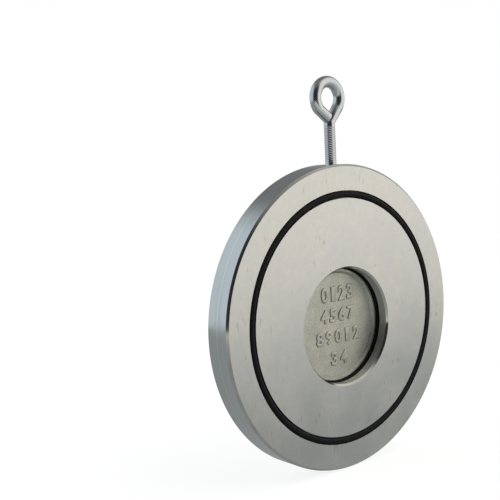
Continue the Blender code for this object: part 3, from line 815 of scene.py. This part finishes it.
SCREW_HEAD_RADIUS = (screw_high.z - screw_low.z) / 2
HEAD_EDGE = 0.0002
PLATE_EDGE = 0.0002
head_gap = GAP * math.sqrt(2)
cone_depth = SCREW_HEAD_RADIUS - SCREW_RADIUS
plate_top_y = keeper_high.y
for side, side_name in ((-1, "left"), (1, "right")):
    low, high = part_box(f"{side_name}_pin_keeper")
    plate = solid(f"{side_name}_keeper_plate", milled(low, high, KEEPER_CORNER), plate_steel)
    screw_x = side * (screw_low.x + screw_high.x) / 2
    countersink = turned(
        [
            (0.0, low.y - REACH),
            (SCREW_RADIUS + GAP, low.y - REACH),
            (SCREW_RADIUS + GAP, plate_top_y - HEAD_EDGE - cone_depth - head_gap + GAP),
            (SCREW_HEAD_RADIUS + head_gap, plate_top_y - HEAD_EDGE),
            (SCREW_HEAD_RADIUS + head_gap, plate_top_y + REACH),
            (0.0, plate_top_y + REACH),
        ],
        SMALL_STEPS,
        (screw_x, 0, hinge_centre.z),
    )
    worked(plate, ("DIFFERENCE", countersink), break_edge=PLATE_EDGE)
    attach(plate, "body")
    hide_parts(f"{side_name}_pin_keeper")

# ---------------------------------------------------------------- keeper screws
# Two M4 countersunk socket screws in stainless, turned heads with a broached hexagon.
head_steel = stainless("turned stainless screw", (1200, 1200, 1200))
SOCKET_ACROSS_FLATS = 0.0025
SOCKET_DEPTH = 0.0012
SCREW_PITCH = 0.0007
THREAD_DEPTH = 0.0004
THREAD_LEAD_IN = 0.0004
SOCKET_EDGE = 0.00008
for side, side_name in ((-1, "left"), (1, "right")):
    low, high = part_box(f"{side_name}_keeper_screw")
    screw_x = (low.x + high.x) / 2
    thread_top_y = high.y - HEAD_EDGE - cone_depth
    outline = [(0.0, low.y), (SCREW_RADIUS - THREAD_DEPTH, low.y)]
    for k in range(int((thread_top_y - low.y - THREAD_LEAD_IN) / SCREW_PITCH)):
        crest_y = low.y + THREAD_LEAD_IN + SCREW_PITCH * (k + 0.5)
        outline += [
            (SCREW_RADIUS, crest_y),
            (SCREW_RADIUS - THREAD_DEPTH, crest_y + SCREW_PITCH / 2),
        ]
    outline += [
        (SCREW_RADIUS, thread_top_y),
        (SCREW_HEAD_RADIUS, high.y - HEAD_EDGE),
        (SCREW_HEAD_RADIUS, high.y),
        (0.0, high.y),
    ]
    screw_shape = turned(outline, SMALL_STEPS, (screw_x, 0, hinge_centre.z))
    screw = solid(f"{side_name}_countersunk_screw", screw_shape, head_steel)
    socket = bar(
        (screw_x, high.y - SOCKET_DEPTH, hinge_centre.z),
        (screw_x, high.y + REACH, hinge_centre.z),
        SOCKET_ACROSS_FLATS / math.sqrt(3),
        6,
    )
    worked(screw, ("DIFFERENCE", socket), break_edge=SOCKET_EDGE)
    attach(screw, "body")
    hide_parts(f"{side_name}_keeper_screw")

# ---------------------------------------------------------------- eye bolt
# A steel rod with a rolled M5 thread, screwed into the rim for lifting. Its plain end is bent round
# cold into an eye whose cropped tip comes back to the neck. Bright zinc plate with a blue tint.
THREAD_RADIUS = 0.0026
THREAD_ROOT = 0.00253
THREAD_PITCH = 0.0008
EYE_WIRE = 0.0053
EYE_RADIUS = 0.0075
NECK_RISE = 0.0202
THREAD_STEPS = 48
CREST_ROUND = 0.00005
ROOT_ROUND = 0.00004
EYE_START = math.radians(-42)
EYE_END = math.radians(220)
EYE_STEPS = 96
EYE_ROOT_DEPTH = 0.0028
EYE_BEND_DEPTH = 0.0008
EYE_TIP_PLACE = 0.22  # share of the wire's thickness
eye_centre = Vector((eye_high.x - EYE_RADIUS - EYE_WIRE / 2, 0, eye_high.z - EYE_RADIUS - EYE_WIRE / 2))
neck_z = body_radius + NECK_RISE


def bright_zinc():
    """Fresh bright zinc plate, bluish, with soft waves from the drawn wire."""
    made, tree, shader, place = finish("bright zinc plate", 1.0, 0.2)
    waves = noise(tree, stretched(tree, place, (160, 160, 120)), detail=2.0)
    colour = blended(tree, between(tree, waves, 0.3, 0.7), (0.59, 0.63, 0.655, 1), (0.65, 0.67, 0.68, 1))
    tree.links.new(colour, shader.inputs["Base Color"])
    tree.links.new(between(tree, waves, 0.3, 0.7, 0.17, 0.23), shader.inputs["Roughness"])
    relief(tree, shader, waves, 0.00003, 0.2)
    return made


def rolled_thread(low_z, high_z):
    """One thread form swept up a helix, then cut square at both ends and closed."""
    shape = bmesh.new()
    form = [
        (THREAD_ROOT, 0.0),
        (THREAD_ROOT + ROOT_ROUND, THREAD_PITCH * 0.12),
        (THREAD_RADIUS - CREST_ROUND, THREAD_PITCH * 0.42),
        (THREAD_RADIUS, THREAD_PITCH * 0.5),
        (THREAD_RADIUS - CREST_ROUND, THREAD_PITCH * 0.58),
        (THREAD_ROOT + ROOT_ROUND, THREAD_PITCH * 0.88),
        (THREAD_ROOT, THREAD_PITCH),
    ]
    start_z = low_z - 2 * THREAD_PITCH
    turns = math.ceil((high_z - low_z) / THREAD_PITCH) + 4
    points = [shape.verts.new((radius, 0, start_z + rise)) for radius, rise in form]
    for pair in zip(points, points[1:]):
        shape.edges.new(pair)
    bmesh.ops.spin(
        shape,
        geom=shape.verts[:] + shape.edges[:],
        cent=(0, 0, 0),
        axis=(0, 0, 1),
        dvec=(0, 0, THREAD_PITCH / THREAD_STEPS),
        angle=2 * math.pi * turns,
        steps=THREAD_STEPS * turns,
    )
    bmesh.ops.remove_doubles(shape, verts=shape.verts, dist=1e-6)
    for height, outward in ((low_z, -1), (high_z, 1)):
        bmesh.ops.bisect_plane(
            shape,
            geom=shape.verts[:] + shape.edges[:] + shape.faces[:],
            plane_co=(0, 0, height),
            plane_no=(0, 0, outward),
            clear_outer=True,
        )
    bmesh.ops.holes_fill(shape, edges=[e for e in shape.edges if e.is_boundary])
    bmesh.ops.recalc_face_normals(shape, faces=shape.faces)
    return shape


plating = bright_zinc()
thread = solid("eye_bolt_thread", rolled_thread(eye_low.z, neck_z), plating, sharp_angle=60.0)
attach(thread, "body")

eye_route = [(0.0, 0.0, neck_z - EYE_ROOT_DEPTH), (0.0, 0.0, neck_z - EYE_BEND_DEPTH)]
for k in range(EYE_STEPS + 1):
    turn = EYE_START + (EYE_END - EYE_START) * k / EYE_STEPS
    across = eye_centre.x + EYE_RADIUS * math.cos(turn)
    eye_route.append((across, 0.0, eye_centre.z + EYE_RADIUS * math.sin(turn)))
eye_route.append((-EYE_WIRE * EYE_TIP_PLACE, 0.0, neck_z + EYE_WIRE * EYE_TIP_PLACE))
eye = wire("eye_bolt_eye", eye_route, EYE_WIRE / 2, plating, sides=12)
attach(eye, "body")
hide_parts("eye_bolt")

# ---------------------------------------------------------------- floor
# A plain pale studio floor that fades into the white backdrop and keeps a soft shadow. In the metal
# it is a glowing sheet instead, with painted shade close to the valve and painted light further in
# front of it.
FLOOR_SIZE = 1.3
FLOOR_GAP = 0.0002
FLOOR_GREY = (0.42, 0.42, 0.42, 1)
FLOOR_GLOW = 1.08
SHADOW_SHARE = 0.22
WHITE = (1, 1, 1, 1)
FLOOR_SHADE_IN_METAL = (0.33, 0.35, 0.348, 1)
FLOOR_LIGHT_IN_METAL = (0.86, 0.86, 0.81, 1)
LIT_FROM_Y = -0.08
LIT_FULLY_Y = -0.48
floor_shape = bmesh.new()
bmesh.ops.create_grid(floor_shape, x_segments=1, y_segments=1, size=FLOOR_SIZE / 2)
bmesh.ops.translate(floor_shape, vec=(0, 0, body_low.z - FLOOR_GAP), verts=floor_shape.verts)
floor_finish, floor_tree, floor_shader, floor_place = finish("studio floor", 0.0, 0.8)
floor_shader.inputs["Specular IOR Level"].default_value = 0.0
rays = node(floor_tree, "ShaderNodeLightPath").outputs
pale = blended(floor_tree, rays["Is Camera Ray"], FLOOR_GREY, WHITE)
floor_tree.links.new(pale, floor_shader.inputs["Base Color"])
white = node(floor_tree, "ShaderNodeEmission", {"Color": WHITE, "Strength": FLOOR_GLOW})
white_values = {0: rays["Is Camera Ray"], 1: 1.0 - SHADOW_SHARE}
white_share = node(floor_tree, "ShaderNodeMath", white_values, operation="MULTIPLY").outputs[0]
seen_values = {0: white_share, 1: floor_shader.outputs[0], 2: white.outputs[0]}
seen = node(floor_tree, "ShaderNodeMixShader", seen_values).outputs[0]
# seen only in the metal: a glowing floor, painted shade near the valve, painted light further in front
along = node(floor_tree, "ShaderNodeSeparateXYZ", {"Vector": floor_place}).outputs["Y"]
lit_values = {"Value": along, "From Min": LIT_FROM_Y, "From Max": LIT_FULLY_Y}
lit = node(floor_tree, "ShaderNodeMapRange", lit_values).outputs["Result"]
floor_glow = blended(floor_tree, lit, FLOOR_SHADE_IN_METAL, FLOOR_LIGHT_IN_METAL)
painted_floor_in_metal = node(floor_tree, "ShaderNodeEmission", {"Color": floor_glow, "Strength": 1.0}).outputs[0]
either_values = {0: rays["Is Glossy Ray"], 1: seen, 2: painted_floor_in_metal}
either = node(floor_tree, "ShaderNodeMixShader", either_values).outputs[0]
floor_tree.links.new(either, floor_tree.nodes["Material Output"].inputs["Surface"])
floor = solid("studio_floor", floor_shape, floor_finish)

# ---------------------------------------------------------------- studio
# A white backdrop. What the metal mirrors is a lit room: a warm bright wall at the front right, a cool
# one at the back left, dim walls between, and the dark corner from which the valve is viewed.
TOWARDS_VIEWER = Vector((-0.632, -0.768, 0.105)).normalized()
TOWARDS_WARM_SIDE = Vector((0.632, -0.768, 0.0)).normalized()
TOWARDS_COOL_SIDE = Vector((-0.632, 0.768, 0.0)).normalized()
BEHIND = Vector((0.632, 0.768, 0.0)).normalized()
DIM_WALLS = (0.21, 0.215, 0.22, 1)
WARM_WALL = (1.03, 0.998, 0.935, 1)
COOL_WALL = (0.66, 0.75, 0.79, 1)
REAR_WALL = (0.34, 0.355, 0.36, 1)
FAR_FLOOR = (0.325, 0.345, 0.345, 1)
VIEWER_CORNER = (0.035, 0.035, 0.04, 1)
world = bpy.data.worlds.new("studio")
bpy.context.scene.world = world
world.use_nodes = True
sky = world.node_tree
sky.nodes.clear()
direction = node(sky, "ShaderNodeTexCoord").outputs["Generated"]
height = node(sky, "ShaderNodeSeparateXYZ", {"Vector": direction}).outputs["Z"]


def facing(target):
    """How far a direction points towards a target, from -1 to 1."""
    values = {0: direction, 1: target}
    return node(sky, "ShaderNodeVectorMath", values, operation="DOT_PRODUCT").outputs["Value"]


warm_share = between(sky, facing(TOWARDS_WARM_SIDE), 0.18, 0.80)
room = blended(sky, warm_share, DIM_WALLS, WARM_WALL)
cool_share = between(sky, facing(TOWARDS_COOL_SIDE), 0.46, 0.76)
room = blended(sky, cool_share, room, COOL_WALL)
room = blended(sky, between(sky, facing(BEHIND), 0.95, 1.0), room, REAR_WALL)
room = blended(sky, between(sky, height, -0.22, -0.06), FAR_FLOOR, room)
room = blended(sky, between(sky, facing(TOWARDS_VIEWER), 0.48, 0.84), room, VIEWER_CORNER)
camera_ray = node(sky, "ShaderNodeLightPath").outputs["Is Camera Ray"]
backdrop = node(sky, "ShaderNodeBackground", {"Color": blended(sky, camera_ray, room, WHITE)})
node(sky, "ShaderNodeOutputWorld", {"Surface": backdrop.outputs[0]})

for lamp_name, place, strength, spread in (
    ("key_lamp", (0.9, -1.3, 1.9), 1.35, 70.0),
    ("fill_lamp", (-1.3, 0.9, 1.6), 0.7, 80.0),
):
    lamp = bpy.data.lights.new(lamp_name, "SUN")
    lamp.energy = strength
    lamp.angle = math.radians(spread)
    holder = bpy.data.objects.new(lamp_name, lamp)
    bpy.context.scene.collection.objects.link(holder)
    holder.rotation_euler = (-Vector(place)).to_track_quat("-Z", "Y").to_euler()
    holder.visible_glossy = False
    holder.visible_camera = False

# ---------------------------------------------------------------- camera
VIEW_TURN = math.radians(-39.441)
VIEW_RISE = math.radians(6.004)
VIEW_ROLL = math.radians(-2.76)
VIEW_DISTANCE = 0.398065
VIEW_TARGET = Vector((-0.050695, 0.0, 0.036537))
LENS_LENGTH = 66.623
SENSOR_WIDTH = 36.0
NEAREST_SEEN = 0.01
back = Vector(
    (
        math.sin(VIEW_TURN) * math.cos(VIEW_RISE),
        -math.cos(VIEW_TURN) * math.cos(VIEW_RISE),
        math.sin(VIEW_RISE),
    )
)
level = (-back).cross(Vector((0, 0, 1))).normalized()
upright = back.cross(level)
camera_data = bpy.data.cameras.new("camera")
camera_data.lens = LENS_LENGTH
camera_data.sensor_width = SENSOR_WIDTH
camera_data.clip_start = NEAREST_SEEN
camera = bpy.data.objects.new("camera", camera_data)
bpy.context.scene.collection.objects.link(camera)
view_right = level * math.cos(VIEW_ROLL) + upright * math.sin(VIEW_ROLL)
view_up = -level * math.sin(VIEW_ROLL) + upright * math.cos(VIEW_ROLL)
turned_view = Matrix((view_right, view_up, back)).transposed().to_4x4()
camera.matrix_world = Matrix.Translation(VIEW_TARGET + back * VIEW_DISTANCE) @ turned_view
bpy.context.scene.camera = camera
bpy.context.scene.view_settings.view_transform = "Standard"
